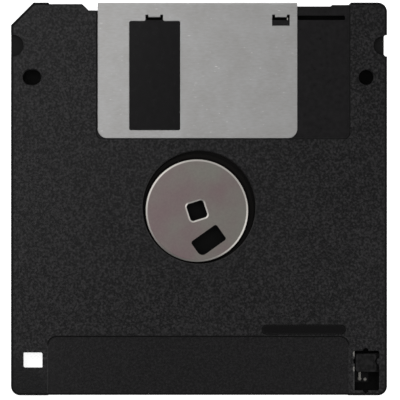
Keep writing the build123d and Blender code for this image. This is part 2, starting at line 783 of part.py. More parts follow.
# The hub: a shallow cup pressed from sheet, with a spindle hole and a slot for the drive pin
with BuildPart() as disk_hub:
    with BuildSketch(Plane((disk_x, disk_y, 0), x_dir=(1, 0, 0), z_dir=(0, -1, 0))):
        with BuildSketch(mode=Mode.PRIVATE) as cup_outside:
            with BuildLine():
                Polyline(
                    (0, flange_floor),
                    (hub_radius, flange_floor),
                    (hub_radius, hub_face - hub_bevel_height),
                    (hub_radius - hub_bevel_width, hub_face),
                    (0, hub_face),
                    close=True,
                )
            make_face()
        with BuildSketch(mode=Mode.PRIVATE) as cup_inside:
            with BuildLine():
                Polyline(
                    (0, flange_floor - overshoot),
                    (hub_radius - hub_sheet, flange_floor - overshoot),
                    (hub_radius - hub_sheet, hub_face - hub_sheet - hub_bevel_height),
                    (hub_radius - hub_sheet - hub_bevel_width, hub_face - hub_sheet),
                    (0, hub_face - hub_sheet),
                    close=True,
                )
            make_face()
        add(cup_outside.sketch)
        rectangle_between(0, flange_floor, hub_flange_radius, glue_floor)
        add(cup_inside.sketch, mode=Mode.SUBTRACT)
    revolve(axis=Axis((disk_x, disk_y, 0), (0, 0, 1)))
    hub_plane = Plane((disk_x, disk_y, hub_face))
    with BuildSketch(hub_plane.offset(-spindle_bevel_depth)) as spindle_hole:
        RectangleRounded(
            spindle_square, spindle_square, spindle_square_corner, rotation=spindle_square_turn
        )
    with BuildSketch(hub_plane):
        mouth = spindle_square + 2 * spindle_bevel_width
        RectangleRounded(
            mouth, mouth, spindle_square_corner + spindle_bevel_width, rotation=spindle_square_turn
        )
    loft(mode=Mode.SUBTRACT)
    extrude(spindle_hole.sketch, amount=-2 * hub_sheet, mode=Mode.SUBTRACT)
    slot_bearing = radians(drive_slot_bearing)
    slot_centre = (drive_slot_distance * cos(slot_bearing), drive_slot_distance * sin(slot_bearing))
    with BuildSketch(hub_plane):
        with BuildSketch(mode=Mode.PRIVATE) as drive_slot:
            Rectangle(drive_slot_length, drive_slot_width)
            large_corner = drive_slot.vertices().sort_by(lambda corner: corner.X + corner.Y)[0]
            fillet(drive_slot.vertices() - [large_corner], drive_slot_corner)
            fillet(drive_slot.vertices().sort_by_distance(large_corner)[0], drive_slot_large_corner)
        with Locations(Location((*slot_centre, 0), drive_slot_turn)):
            add(drive_slot.sketch)
    extrude(amount=-2 * hub_sheet, mode=Mode.SUBTRACT)

# The fabric liners, fixed to the inside of each half and open where the heads reach the film
with BuildSketch() as liner_shape:
    with Locations((0, hub_hole_y)):
        Circle(pocket_radius - liner_outer_gap)
        Circle(hub_flange_radius + disk_play + liner_inner_gap, mode=Mode.SUBTRACT)
    rectangle_between(
        head_window_left - liner_window_margin,
        head_window_low - liner_window_margin,
        head_window_right + liner_window_margin,
        half_length,
        mode=Mode.SUBTRACT,
    )

with BuildPart() as hub_side_liner:
    with BuildSketch(Plane.XY.offset(inner_high - liner)):
        add(liner_shape.sketch)
    extrude(amount=liner)

with BuildPart() as label_side_liner:
    with BuildSketch(Plane.XY.offset(inner_low)):
        add(liner_shape.sketch)
    extrude(amount=liner)

# The lifter: a strip of springy film with one flap bent up against the liner above it
with BuildPart() as liner_lifter:
    pocket_floor = inner_low - lifter_pocket
    with BuildSketch(Plane.XZ.offset(-hub_hole_y - lifter_ahead - lifter_length / 2)):
        with BuildLine():
            crease = -lifter_left
            left = crease - lifter_width / 2
            right = crease + lifter_width / 2
            Polyline(
                (left, pocket_floor),
                (crease, pocket_floor),
                (right, inner_low - lifter_sheet),
                (right, inner_low),
                (crease, pocket_floor + lifter_sheet),
                (left, pocket_floor + lifter_sheet),
                close=True,
            )
        make_face()
    extrude(amount=lifter_length)

# The closing spring: two turns of wire, an arm that pushes the shutter's tab and an arm held at a post
with BuildPart() as shutter_spring:
    with BuildLine() as wire_path:
        FilletPolyline(
            (tip.X, tip.Y + spring_hook, coil_high),
            (tip.X, tip.Y, coil_high),
            (tip_contact.X, tip_contact.Y, coil_high),
            radius=spring_bend_radius,
        )
        CenterArc((coil_centre.X, coil_centre.Y, coil_high), coil_radius, tip_angle, -flat_sweep)
        for half_turn in range(coil_half_turns):
            angle = tip_angle - flat_sweep - 180 * half_turn
            height = coil_high - coil_step * half_turn
            ThreePointArc(
                coil_centre + coil_radius * unit(angle) + Vector(0, 0, height),
                coil_centre + tilted_radius * unit(angle - 90) + Vector(0, 0, height - coil_step / 2),
                coil_centre + coil_radius * unit(angle - 180) + Vector(0, 0, height - coil_step),
            )
        CenterArc((coil_centre.X, coil_centre.Y, coil_low), coil_radius, anchor_angle, flat_sweep)
        hook_end = anchor + anchor_hook * hook_direction
        FilletPolyline(
            (anchor_contact.X, anchor_contact.Y, coil_low),
            (anchor.X, anchor.Y, coil_low),
            (hook_end.X, hook_end.Y, coil_low),
            radius=spring_bend_radius,
        )
    with BuildSketch(Plane(wire_path.wire() @ 0, z_dir=wire_path.wire() % 0)):
        Circle(wire / 2)
    sweep(path=wire_path.wire())

pieces = {
    "hub_side_shell": hub_side_shell,
    "label_side_shell": label_side_shell,
    "shutter": shutter,
    "shutter_spring": shutter_spring,
    "write_protect_slider": write_protect_slider,
    "magnetic_disk": magnetic_disk,
    "hub_adhesive_ring": hub_adhesive_ring,
    "disk_hub": disk_hub,
    "hub_side_liner": hub_side_liner,
    "label_side_liner": label_side_liner,
    "liner_lifter": liner_lifter,
}
os.makedirs("parts", exist_ok=True)
for name, piece in pieces.items():
    piece.part.label = name
    export_step(piece.part, f"parts/{name}.step")
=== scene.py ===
"""A 90 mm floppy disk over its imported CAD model, laid hub side up on a pale table under studio light.

The sections follow the disk as it is put together, from the label-side half of its case up to the
shutter that is sprung over both halves. Lengths are in metres.
"""

from math import acos, atan2, cos, degrees, radians, sin, sqrt, tan

import bpy
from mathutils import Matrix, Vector
from mathutils.geometry import interpolate_bezier


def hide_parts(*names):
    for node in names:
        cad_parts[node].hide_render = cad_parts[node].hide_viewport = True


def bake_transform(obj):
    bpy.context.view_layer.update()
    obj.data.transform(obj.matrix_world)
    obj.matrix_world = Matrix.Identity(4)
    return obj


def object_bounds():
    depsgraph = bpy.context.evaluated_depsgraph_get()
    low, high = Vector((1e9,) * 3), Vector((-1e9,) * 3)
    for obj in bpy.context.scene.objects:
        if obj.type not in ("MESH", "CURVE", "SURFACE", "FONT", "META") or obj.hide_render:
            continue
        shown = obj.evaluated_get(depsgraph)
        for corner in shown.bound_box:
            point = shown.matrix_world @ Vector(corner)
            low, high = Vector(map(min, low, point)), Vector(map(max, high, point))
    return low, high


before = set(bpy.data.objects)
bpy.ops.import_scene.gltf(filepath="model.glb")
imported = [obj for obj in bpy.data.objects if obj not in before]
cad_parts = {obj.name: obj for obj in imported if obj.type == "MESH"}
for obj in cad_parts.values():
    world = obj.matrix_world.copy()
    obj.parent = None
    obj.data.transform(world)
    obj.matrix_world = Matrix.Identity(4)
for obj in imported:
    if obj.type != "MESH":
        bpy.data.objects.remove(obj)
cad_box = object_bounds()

# The label-side half of the case: injection-moulded black ABS that the rest is laid into. The two
# halves are welded at pins and sockets, and come from one set of moulds with a spark-eroded finish.

# The case's size comes from the bounds of the imported model. Its side walls, its flat walls and the
# depth of the shutter's recess are as they are moulded.
half_width, half_length, case_thickness = cad_box[1]
parting = case_thickness / 2
side_wall = 0.0011
plate = 0.001
recess_depth = 0.00035


def srgb(code):
    """A colour written as sRGB hex, as the linear values that Blender uses."""
    parts = [int(code[i : i + 2], 16) / 255 for i in (1, 3, 5)]
    return [c / 12.92 if c <= 0.04045 else ((c + 0.055) / 1.055) ** 2.4 for c in parts] + [1.0]


def add_node(tree, kind, settings=None, inputs=None):
    """A new node. Its inputs go by name or number, and each takes a value or another node's socket."""
    node = tree.nodes.new(kind)
    for name, value in (settings or {}).items():
        setattr(node, name, value)
    for name, value in (inputs or {}).items():
        if isinstance(value, bpy.types.NodeSocket):
            tree.links.new(value, node.inputs[name])
        else:
            node.inputs[name].default_value = value
    return node


def new_material(name):
    """An empty node material and its tree."""
    material = bpy.data.materials.new(name)
    material.use_nodes = True
    material.node_tree.nodes.clear()
    return material, material.node_tree


def dress(node_name, material):
    """Gives a CAD node its finish."""
    for material_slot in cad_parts[node_name].material_slots:
        material_slot.link = "OBJECT"
        material_slot.material = material


def beyond_block(tree, place, centre, half_size, corner):
    """How far a place lies out from a block whose upright edges are round. Below zero is within it."""
    core = (half_size[0] - corner, half_size[1] - corner, half_size[2])
    offset = add_node(tree, "ShaderNodeVectorMath", {"operation": "SUBTRACT"}, {0: place, 1: centre})
    reach = add_node(tree, "ShaderNodeVectorMath", {"operation": "ABSOLUTE"}, {0: offset.outputs[0]})
    excess = add_node(
        tree, "ShaderNodeVectorMath", {"operation": "SUBTRACT"}, {0: reach.outputs[0], 1: core}
    )
    outward = add_node(
        tree, "ShaderNodeVectorMath", {"operation": "MAXIMUM"}, {0: excess.outputs[0], 1: (0.0, 0.0, 0.0)}
    )
    distance = add_node(
        tree, "ShaderNodeVectorMath", {"operation": "LENGTH"}, {0: outward.outputs[0]}
    ).outputs["Value"]
    return add_node(
        tree, "ShaderNodeMath", {"operation": "SUBTRACT"}, {0: distance, 1: corner}
    ).outputs[0]


def inside_oval(tree, place, centre, half_size):
    """One at the centre of an oval body, falling evenly to zero at its surface."""
    oval_place = add_node(
        tree, "ShaderNodeMapping",
        {"vector_type": "TEXTURE"},
        {"Vector": place, "Location": centre, "Scale": half_size},
    )
    return add_node(
        tree, "ShaderNodeTexGradient", {"gradient_type": "SPHERICAL"}, {"Vector": oval_place.outputs[0]}
    ).outputs["Fac"]


# Moulded black ABS. Carbon black leaves it almost no colour of its own, so the eye reads it by its
# sheen: a fine eroded grain on the outer faces, smoother floors where the mould was polished, and a
# dull inside, painted dark as shade.
case_abs, tree = new_material("moulded black ABS")
coordinates = add_node(tree, "ShaderNodeTexCoord").outputs
place = coordinates["Object"]
# Eroded pits are about 0.1 mm across. They are drawn at 0.5 mm, as small as the picture shows.
grain = add_node(
    tree, "ShaderNodeTexNoise",
    inputs={"Vector": place, "Scale": 1 / 0.0005, "Detail": 1.5, "Roughness": 0.5},
)
# Handling leaves soft patches, about 15 mm across, that shine a little more.
patches = add_node(
    tree, "ShaderNodeTexNoise",
    inputs={"Vector": place, "Scale": 1 / 0.015, "Detail": 3.0, "Roughness": 0.5},
)
# The outer faces are 1.65 mm from the parting plane, and the floors of the label recesses 1.45 mm. The
# polished floors of the shutter's recess lie at 1.3 mm, the duller ones of the finger grips at 0.8 mm,
# and the inside starts at 0.65 mm.
recess_floor = parting - recess_depth
inside_face = parting - plate
height = add_node(tree, "ShaderNodeSeparateXYZ", inputs={"Vector": place}).outputs["Z"]
above_parting = add_node(tree, "ShaderNodeMath", {"operation": "SUBTRACT"}, {0: height, 1: parting})
from_parting = add_node(
    tree, "ShaderNodeMath", {"operation": "ABSOLUTE"}, {0: above_parting.outputs[0]}
).outputs[0]
high_face = add_node(
    tree, "ShaderNodeMapRange",
    inputs={"Value": from_parting, "From Min": recess_floor + 0.00002, "From Max": parting - 0.00003},
)
deep_face = add_node(
    tree, "ShaderNodeMapRange",
    inputs={"Value": from_parting, "From Min": recess_floor - 0.0001, "From Max": inside_face + 0.00005},
)
# How far out from the outline of the case: its four walls and its cut corner
case_corner = 0.0022
cut_corner_leg = 0.0054
cut_distance = (half_width + half_length - cut_corner_leg) / sqrt(2)
from_walls = beyond_block(tree, place, (0.0, 0.0, 0.0), (half_width, half_length, 0.01), case_corner)
towards_cut = add_node(
    tree, "ShaderNodeVectorMath", {"operation": "DOT_PRODUCT"}, {0: place, 1: (-sqrt(0.5), sqrt(0.5), 0.0)}
)
from_cut = add_node(
    tree, "ShaderNodeMath", {"operation": "SUBTRACT"}, {0: towards_cut.outputs["Value"], 1: cut_distance}
)
from_outline = add_node(
    tree, "ShaderNodeMath", {"operation": "MAXIMUM"}, {0: from_walls, 1: from_cut.outputs[0]}
).outputs[0]
# The side walls keep the grain of the outer faces all the way down.
by_wall = add_node(
    tree, "ShaderNodeMath", {"operation": "GREATER_THAN"}, {0: from_outline, 1: -side_wall - 0.0001}
)
normal_rise = add_node(
    tree, "ShaderNodeSeparateXYZ", inputs={"Vector": coordinates["Normal"]}
).outputs["Z"]
levelness = add_node(tree, "ShaderNodeMath", {"operation": "ABSOLUTE"}, {0: normal_rise}).outputs[0]
upright = add_node(
    tree, "ShaderNodeMapRange", inputs={"Value": levelness, "From Min": 0.8, "From Max": 0.6}
)
wall_face = add_node(
    tree, "ShaderNodeMath", {"operation": "MULTIPLY"},
    {0: by_wall.outputs[0], 1: upright.outputs["Result"]},
)
outer_face = add_node(
    tree, "ShaderNodeMath", {"operation": "MAXIMUM"},
    {0: high_face.outputs["Result"], 1: wall_face.outputs[0]},
).outputs[0]
# The deep inside is painted darker as shade, and made dull.
inside = add_node(
    tree, "ShaderNodeMath", {"operation": "SUBTRACT", "use_clamp": True},
    {0: deep_face.outputs["Result"], 1: wall_face.outputs[0]},
)
# The rounded edges of the outline, up to 0.6 mm in, are painted dark and dull as shade.
by_edge = add_node(
    tree, "ShaderNodeMapRange",
    inputs={"Value": from_outline, "From Min": -0.0007, "From Max": -0.0005},
)
facing_up = add_node(tree, "ShaderNodeMath", {"operation": "GREATER_THAN"}, {0: levelness, 1: 0.3})
edge_shade = add_node(
    tree, "ShaderNodeMath", {"operation": "MULTIPLY"},
    {0: by_edge.outputs["Result"], 1: facing_up.outputs[0]},
)
# A painted shade line runs along the upper edge of the back label's recess and round its two corners,
# 0.4 mm wide, with its middle 0.12 mm out from the recess.
label_edge = -0.033
label_half_width = 0.0359
label_half_length = 0.017
label_corner = 0.0021
line_gap = 0.00012
to_line = beyond_block(
    tree, place,
    centre=(-0.0002, label_edge - label_half_length, case_thickness),
    half_size=(label_half_width + line_gap, label_half_length + line_gap, 0.001),
    corner=label_corner + line_gap,
)
off_line = add_node(tree, "ShaderNodeMath", {"operation": "ABSOLUTE"}, {0: to_line})
on_line = add_node(
    tree, "ShaderNodeMapRange",
    inputs={"Value": off_line.outputs[0], "From Min": 0.0003, "From Max": 0.00015},
)
along_case = add_node(tree, "ShaderNodeSeparateXYZ", inputs={"Vector": place}).outputs["Y"]
near_edge = add_node(
    tree, "ShaderNodeMapRange",
    inputs={"Value": along_case, "From Min": label_edge - 0.0026, "From Max": label_edge - 0.0014},
)
label_step_shade = add_node(
    tree, "ShaderNodeMath", {"operation": "MULTIPLY"},
    {0: on_line.outputs["Result"], 1: near_edge.outputs["Result"]},
)
painted_line_shade = add_node(
    tree, "ShaderNodeMath", {"operation": "MAXIMUM"}, {0: label_step_shade.outputs[0], 1: edge_shade.outputs[0]}
)
# Painted shade also fills the foot of each step, about 0.4 mm out, as far as the case closes in over it.
foot = add_node(
    tree, "ShaderNodeAmbientOcclusion", {"samples": 8, "only_local": True}, {"Distance": 0.0006}
)
foot_shade = add_node(
    tree, "ShaderNodeMapRange",
    inputs={"Value": foot.outputs["AO"], "From Min": 0.9, "From Max": 0.6, "To Max": 0.9},
)
painted_shade = add_node(
    tree, "ShaderNodeMath", {"operation": "MAXIMUM"},
    {0: painted_line_shade.outputs[0], 1: foot_shade.outputs["Result"]},
)
dull_and_painted_shade = add_node(
    tree, "ShaderNodeMath", {"operation": "MAXIMUM"}, {0: inside.outputs[0], 1: painted_shade.outputs[0]}
).outputs[0]
# The grain glints in specks. Thumbs have worn it off the rear left corner, up to 10 mm round.
speck = add_node(
    tree, "ShaderNodeMapRange",
    inputs={"Value": grain.outputs["Fac"], "From Min": 0.4, "From Max": 0.75},
)
moulded_share = add_node(
    tree, "ShaderNodeMath", {"operation": "MULTIPLY"}, {0: speck.outputs["Result"], 1: outer_face}
)
worn_corner = (-half_width + 0.002, -half_length, case_thickness)
to_corner = add_node(
    tree, "ShaderNodeVectorMath", {"operation": "DISTANCE"}, {0: place, 1: worn_corner}
)
unworn = add_node(
    tree, "ShaderNodeMapRange",
    inputs={"Value": to_corner.outputs["Value"], "From Min": 0.006, "From Max": 0.01, "To Min": 0.2},
)
speck_share = add_node(
    tree, "ShaderNodeMath", {"operation": "MULTIPLY"},
    {0: moulded_share.outputs[0], 1: unworn.outputs["Result"]},
)
# The polished floors are clouded, about 1 mm apart.
floor_cloud = add_node(
    tree, "ShaderNodeTexNoise", inputs={"Vector": place, "Scale": 1 / 0.0011, "Detail": 2.0}
)
floor_tone = add_node(
    tree, "ShaderNodeMix", {"data_type": "RGBA"},
    {"Factor": floor_cloud.outputs["Fac"], 6: srgb("#0b0a0b"), 7: srgb("#212021")},
)
# They are darker in the bar over the back label, 20 by 2.5 mm, and where the closed shutter's window
# leaves its recess open. The first oval takes in a little more than the bar.
floor_height = case_thickness - recess_depth
in_bar = inside_oval(tree, place, centre=(0.025, -0.03125, floor_height), half_size=(0.0145, 0.002, 0.0012))
bar_floor = add_node(
    tree, "ShaderNodeMapRange", inputs={"Value": in_bar, "From Min": 0.0, "From Max": 0.03}
)
in_open = inside_oval(tree, place, centre=(-0.0104, 0.03, floor_height), half_size=(0.012, 0.024, 0.0012))
open_floor = add_node(
    tree, "ShaderNodeMapRange",
    inputs={"Value": in_open, "From Min": 0.0, "From Max": 0.25, "To Max": 0.5},
)
dark_floor = add_node(
    tree, "ShaderNodeMath", {"operation": "MAXIMUM"},
    {0: bar_floor.outputs["Result"], 1: open_floor.outputs["Result"]},
)
floor_colour = add_node(
    tree, "ShaderNodeMix", {"data_type": "RGBA"},
    {"Factor": dark_floor.outputs[0], 6: floor_tone.outputs[2], 7: srgb("#070607")},
)
skin_colour = add_node(
    tree, "ShaderNodeMix", {"data_type": "RGBA"},
    {"Factor": outer_face, 6: floor_colour.outputs[2], 7: srgb("#060607")},
)
grained_colour = add_node(
    tree, "ShaderNodeMix", {"data_type": "RGBA"},
    {"Factor": speck_share.outputs[0], 6: skin_colour.outputs[2], 7: srgb("#2e2d2e")},
)
unhighlighted_colour = add_node(
    tree, "ShaderNodeMix", {"data_type": "RGBA"},
    {"Factor": dull_and_painted_shade, 6: grained_colour.outputs[2], 7: srgb("#040404")},
)
# The two nubs on the tongue below the slider get a painted highlight in pale colour, within 1.5 mm of a
# place between them.
tongue_face = case_thickness - 0.0012
to_nubs = add_node(
    tree, "ShaderNodeVectorMath", {"operation": "DISTANCE"},
    {0: place, 1: (0.0389, -0.0428, tongue_face + 0.0002)},
)
by_nubs = add_node(
    tree, "ShaderNodeMapRange",
    inputs={"Value": to_nubs.outputs["Value"], "From Min": 0.0016, "From Max": 0.0014},
)
above_tongue = add_node(
    tree, "ShaderNodeMapRange",
    inputs={"Value": height, "From Min": tongue_face + 0.00006, "From Max": tongue_face + 0.00026},
)
nub_highlight = add_node(
    tree, "ShaderNodeMath", {"operation": "MULTIPLY"},
    {0: by_nubs.outputs["Result"], 1: above_tongue.outputs["Result"]},
)
# The bevel on the left of the slider's window gets painted glints in pale colour, in two marks 1.4 mm
# long and 3.6 mm apart. Their places are counted in half marks from the middle between them.
half_mark = 0.0007
half_spacing = 0.0018
glint_place = add_node(
    tree, "ShaderNodeMapping",
    {"vector_type": "TEXTURE"},
    {"Vector": place, "Location": (0.0371, -0.03886, 0.0032), "Scale": (0.0003, half_mark, 0.0004)},
)
either_side = add_node(
    tree, "ShaderNodeVectorMath", {"operation": "ABSOLUTE"}, {0: glint_place.outputs[0]}
)
to_mark = add_node(
    tree, "ShaderNodeVectorMath", {"operation": "DISTANCE"},
    {0: either_side.outputs[0], 1: (0.0, half_spacing / half_mark, 0.0)},
)
by_mark = add_node(
    tree, "ShaderNodeMapRange", inputs={"Value": to_mark.outputs["Value"], "From Min": 1.0, "From Max": 0.8}
)
painted_highlights = add_node(
    tree, "ShaderNodeMath", {"operation": "MAXIMUM"},
    {0: nub_highlight.outputs[0], 1: by_mark.outputs["Result"]},
)
abs_colour = add_node(
    tree, "ShaderNodeMix", {"data_type": "RGBA"},
    {"Factor": painted_highlights.outputs[0], 6: unhighlighted_colour.outputs[2], 7: srgb("#6f6d69")},
)
grain_roughness = add_node(
    tree, "ShaderNodeMapRange",
    inputs={
        "Value": patches.outputs["Fac"],
        "From Min": 0.3, "From Max": 0.7, "To Min": 0.4, "To Max": 0.5,
    },
)
skin_roughness = add_node(
    tree, "ShaderNodeMix", {"data_type": "FLOAT"},
    {"Factor": outer_face, 2: 0.25, 3: grain_roughness.outputs["Result"]},
)
abs_roughness = add_node(
    tree, "ShaderNodeMix", {"data_type": "FLOAT"},
    {"Factor": dull_and_painted_shade, 2: skin_roughness.outputs[0], 3: 0.95},
)
grain_bump = add_node(
    tree, "ShaderNodeBump",
    inputs={"Strength": outer_face, "Distance": 0.0001, "Height": grain.outputs["Fac"]},
)
abs_shader = add_node(
    tree, "ShaderNodeBsdfPrincipled",
    inputs={
        "Base Color": abs_colour.outputs[2],
        "Roughness": abs_roughness.outputs[0],
        "IOR": 1.53,
        "Specular IOR Level": 0.22,
        "Normal": grain_bump.outputs["Normal"],
    },
)
add_node(tree, "ShaderNodeOutputMaterial", inputs={"Surface": abs_shader.outputs[0]})
dress("label_side_shell", case_abs)

# The lifter: a strip of clear amber polyester film, creased and laid in its pocket, whose free flap
# presses the liner above it lightly against the disk.

lifter_film, tree = new_material("amber polyester film")
place = add_node(tree, "ShaderNodeTexCoord").outputs["Object"]
# Rolled film shows faint draw lines, about 0.6 mm apart, along the strip.
draw_place = add_node(
    tree, "ShaderNodeMapping", inputs={"Vector": place, "Scale": (1 / 0.0006, 1 / 0.02, 1 / 0.0006)}
)
draw_lines = add_node(
    tree, "ShaderNodeTexNoise", inputs={"Vector": draw_place.outputs[0], "Scale": 1.0, "Detail": 2.0}
)
film_tint = add_node(
    tree, "ShaderNodeMix", {"data_type": "RGBA"},
    {"Factor": draw_lines.outputs["Fac"], 6: srgb("#8c6a3c"), 7: srgb("#a88450")},
)
film_bump = add_node(
    tree, "ShaderNodeBump",
    inputs={"Strength": 0.4, "Distance": 0.000004, "Height": draw_lines.outputs["Fac"]},
)
lifter_shader = add_node(
    tree, "ShaderNodeBsdfPrincipled",
    inputs={
        "Base Color": film_tint.outputs[2],
        "Roughness": 0.22,
        "IOR": 1.64,
        "Transmission Weight": 0.35,
        "Normal": film_bump.outputs["Normal"],
    },
)
add_node(tree, "ShaderNodeOutputMaterial", inputs={"Surface": lifter_shader.outputs[0]})
dress("liner_lifter", lifter_film)

# The two liners: rings of white non-woven polyester, heat-bonded to the inside of each half, that
# sweep dust from the disk as it turns.

liner_fabric, tree = new_material("non-woven polyester liner")
place = add_node(tree, "ShaderNodeTexCoord").outputs["Object"]
# Fibres lie every way. They are about 0.02 mm thick, and are drawn as 0.12 mm strands.
fibres = add_node(
    tree, "ShaderNodeTexNoise",
    inputs={"Vector": place, "Scale": 1 / 0.0004, "Detail": 4.0, "Roughness": 0.7, "Distortion": 2.5},
)
# The bonding roll leaves a dimple every 1.2 mm.
dimples = add_node(
    tree, "ShaderNodeTexVoronoi",
    {"feature": "F1"},
    {"Vector": place, "Scale": 1 / 0.0012, "Randomness": 0.25},
)
dimple_edge = add_node(
    tree, "ShaderNodeMapRange",
    inputs={"Value": dimples.outputs["Distance"], "From Min": 0.15, "From Max": 0.35},
)
liner_colour = add_node(
    tree, "ShaderNodeMix", {"data_type": "RGBA"},
    {"Factor": fibres.outputs["Fac"], 6: srgb("#b9b8b3"), 7: srgb("#e9e8e3")},
)
liner_height = add_node(
    tree, "ShaderNodeMath", {"operation": "MULTIPLY"},
    {0: fibres.outputs["Fac"], 1: dimple_edge.outputs["Result"]},
)
liner_bump = add_node(
    tree, "ShaderNodeBump",
    inputs={"Strength": 0.8, "Distance": 0.00004, "Height": liner_height.outputs[0]},
)
liner_shader = add_node(
    tree, "ShaderNodeBsdfPrincipled",
    inputs={
        "Base Color": liner_colour.outputs[2],
        "Roughness": 0.92,
        "IOR": 1.5,
        "Sheen Weight": 0.25,
        "Normal": liner_bump.outputs["Normal"],
    },
)
add_node(tree, "ShaderNodeOutputMaterial", inputs={"Surface": liner_shader.outputs[0]})
dress("label_side_liner", liner_fabric)
dress("hub_side_liner", liner_fabric)

# The disk: polyester film coated on both sides with iron oxide in a binder, then polished smooth.
# A thin ring of adhesive film holds its middle to the hub.

oxide_film, tree = new_material("oxide-coated film")
place = add_node(tree, "ShaderNodeTexCoord").outputs["Object"]
# Polishing and the heads leave fine rings round the hub, which lies off the middle of the case. They
# are drawn 1.3 mm apart, so that they show.
hub_x = -0.0005
hub_y = -0.0028
ring_place = add_node(
    tree, "ShaderNodeMapping", inputs={"Vector": place, "Location": (-hub_x, -hub_y, 0.0)}
)
rings = add_node(
    tree, "ShaderNodeTexWave",
    {"wave_type": "RINGS", "rings_direction": "Z"},
    {"Vector": ring_place.outputs[0], "Scale": 1 / 0.004, "Distortion": 0.6, "Detail": 2.0},
)
oxide_colour = add_node(
    tree, "ShaderNodeMix", {"data_type": "RGBA"},
    {"Factor": rings.outputs["Fac"], 6: srgb("#080706"), 7: srgb("#0e0b09")},
)
oxide_roughness = add_node(
    tree, "ShaderNodeMapRange",
    inputs={"Value": rings.outputs["Fac"], "To Min": 0.24, "To Max": 0.31},
)
oxide_shader = add_node(
    tree, "ShaderNodeBsdfPrincipled",
    inputs={
        "Base Color": oxide_colour.outputs[2],
        "Roughness": oxide_roughness.outputs["Result"],
        "IOR": 1.6,
        "Specular IOR Level": 0.12,
    },
)
add_node(tree, "ShaderNodeOutputMaterial", inputs={"Surface": oxide_shader.outputs[0]})
dress("magnetic_disk", oxide_film)

adhesive, tree = new_material("adhesive film")
place = add_node(tree, "ShaderNodeTexCoord").outputs["Object"]
# Trapped air shows as paler spots, about 0.5 mm across.
air = add_node(tree, "ShaderNodeTexNoise", inputs={"Vector": place, "Scale": 1 / 0.0005, "Detail": 2.0})
adhesive_colour = add_node(
    tree, "ShaderNodeMix", {"data_type": "RGBA"},
    {"Factor": air.outputs["Fac"], 6: srgb("#a89f8c"), 7: srgb("#c8c0ae")},
)
adhesive_shader = add_node(
    tree, "ShaderNodeBsdfPrincipled",
    inputs={"Base Color": adhesive_colour.outputs[2], "Roughness": 0.35, "IOR": 1.48},
)
add_node(tree, "ShaderNodeOutputMaterial", inputs={"Surface": adhesive_shader.outputs[0]})
dress("hub_adhesive_ring", adhesive)

# The hub: a shallow cup pressed from magnetic stainless strip and tumbled. The drive's spindle goes
# into its square hole, and the drive's pin into its slot.

# Pressed ferritic stainless steel. Its face is dull and warm from tumbling, the press tool burnished
# the rim and the bevel of the spindle hole, and the wall and flange below are painted dark and dull as
# shade.
hub_steel, tree = new_material("pressed stainless steel")
place = add_node(tree, "ShaderNodeTexCoord").outputs["Object"]
# Tumbling marks are about 0.2 mm across. They are drawn at 0.5 mm, so that they show.
tumbled = add_node(
    tree, "ShaderNodeTexNoise",
    inputs={"Vector": place, "Scale": 1 / 0.0005, "Detail": 2.0, "Roughness": 0.6},
)
# The wash leaves warm and greenish stains, about 8 mm across.
stain = add_node(
    tree, "ShaderNodeTexNoise",
    inputs={"Vector": place, "Scale": 1 / 0.008, "Detail": 3.0, "Roughness": 0.5},
)
stained = add_node(
    tree, "ShaderNodeMapRange", inputs={"Value": stain.outputs["Fac"], "From Min": 0.3, "From Max": 0.7}
)
stain_tone = add_node(
    tree, "ShaderNodeMix", {"data_type": "RGBA"},
    {"Factor": stained.outputs["Result"], 6: srgb("#8c7a7c"), 7: srgb("#8e8c85")},
)
steel_tone = add_node(
    tree, "ShaderNodeMix", {"data_type": "RGBA", "blend_type": "OVERLAY"},
    {"Factor": 0.12, 6: stain_tone.outputs[2], 7: tumbled.outputs["Fac"]},
)
hub_height = add_node(tree, "ShaderNodeSeparateXYZ", inputs={"Vector": place}).outputs["Z"]
# The bevels of the rim and of the spindle hole start at the face and end about 0.2 mm below it.
hub_face = 0.0029
bevel_foot = hub_face - 0.00022
burnished = add_node(
    tree, "ShaderNodeMapRange",
    inputs={"Value": hub_height, "From Min": hub_face - 0.00001, "From Max": hub_face - 0.00004},
)
below_bevel_shade = add_node(
    tree, "ShaderNodeMapRange",
    inputs={"Value": hub_height, "From Min": bevel_foot - 0.00002, "From Max": bevel_foot - 0.00008},
)
polished_tone = add_node(
    tree, "ShaderNodeMix", {"data_type": "RGBA"},
    {"Factor": burnished.outputs["Result"], 6: steel_tone.outputs[2], 7: srgb("#b8b4af")},
)
hub_colour = add_node(
    tree, "ShaderNodeMix", {"data_type": "RGBA"},
    {"Factor": below_bevel_shade.outputs["Result"], 6: polished_tone.outputs[2], 7: srgb("#1b1715")},
)
polished_roughness = add_node(
    tree, "ShaderNodeMapRange",
    inputs={"Value": burnished.outputs["Result"], "To Min": 0.5, "To Max": 0.42},
)
hub_roughness = add_node(
    tree, "ShaderNodeMix", {"data_type": "FLOAT"},
    {"Factor": below_bevel_shade.outputs["Result"], 2: polished_roughness.outputs["Result"], 3: 0.7},
)
hub_bump = add_node(
    tree, "ShaderNodeBump",
    inputs={"Strength": 0.35, "Distance": 0.000006, "Height": tumbled.outputs["Fac"]},
)
hub_shader = add_node(
    tree, "ShaderNodeBsdfPrincipled",
    inputs={
        "Base Color": hub_colour.outputs[2],
        "Metallic": 1.0,
        "Roughness": hub_roughness.outputs[0],
        "Normal": hub_bump.outputs["Normal"],
    },
)
add_node(tree, "ShaderNodeOutputMaterial", inputs={"Surface": hub_shader.outputs[0]})
dress("disk_hub", hub_steel)

# The write-protect slider: a small moulded slab that the nail pushes from one click to the other
# along the side of the case. It is the same black ABS, from a smoother mould.

slider_abs, tree = new_material("smooth black ABS")
place = add_node(tree, "ShaderNodeTexCoord").outputs["Object"]
# Nail scuffs run across the slider, about 0.15 mm wide.
scuff_place = add_node(
    tree, "ShaderNodeMapping", inputs={"Vector": place, "Scale": (1 / 0.0012, 1 / 0.00015, 1 / 0.0012)}
)
scuffs = add_node(
    tree, "ShaderNodeTexNoise", inputs={"Vector": scuff_place.outputs[0], "Scale": 1.0, "Detail": 2.0}
)
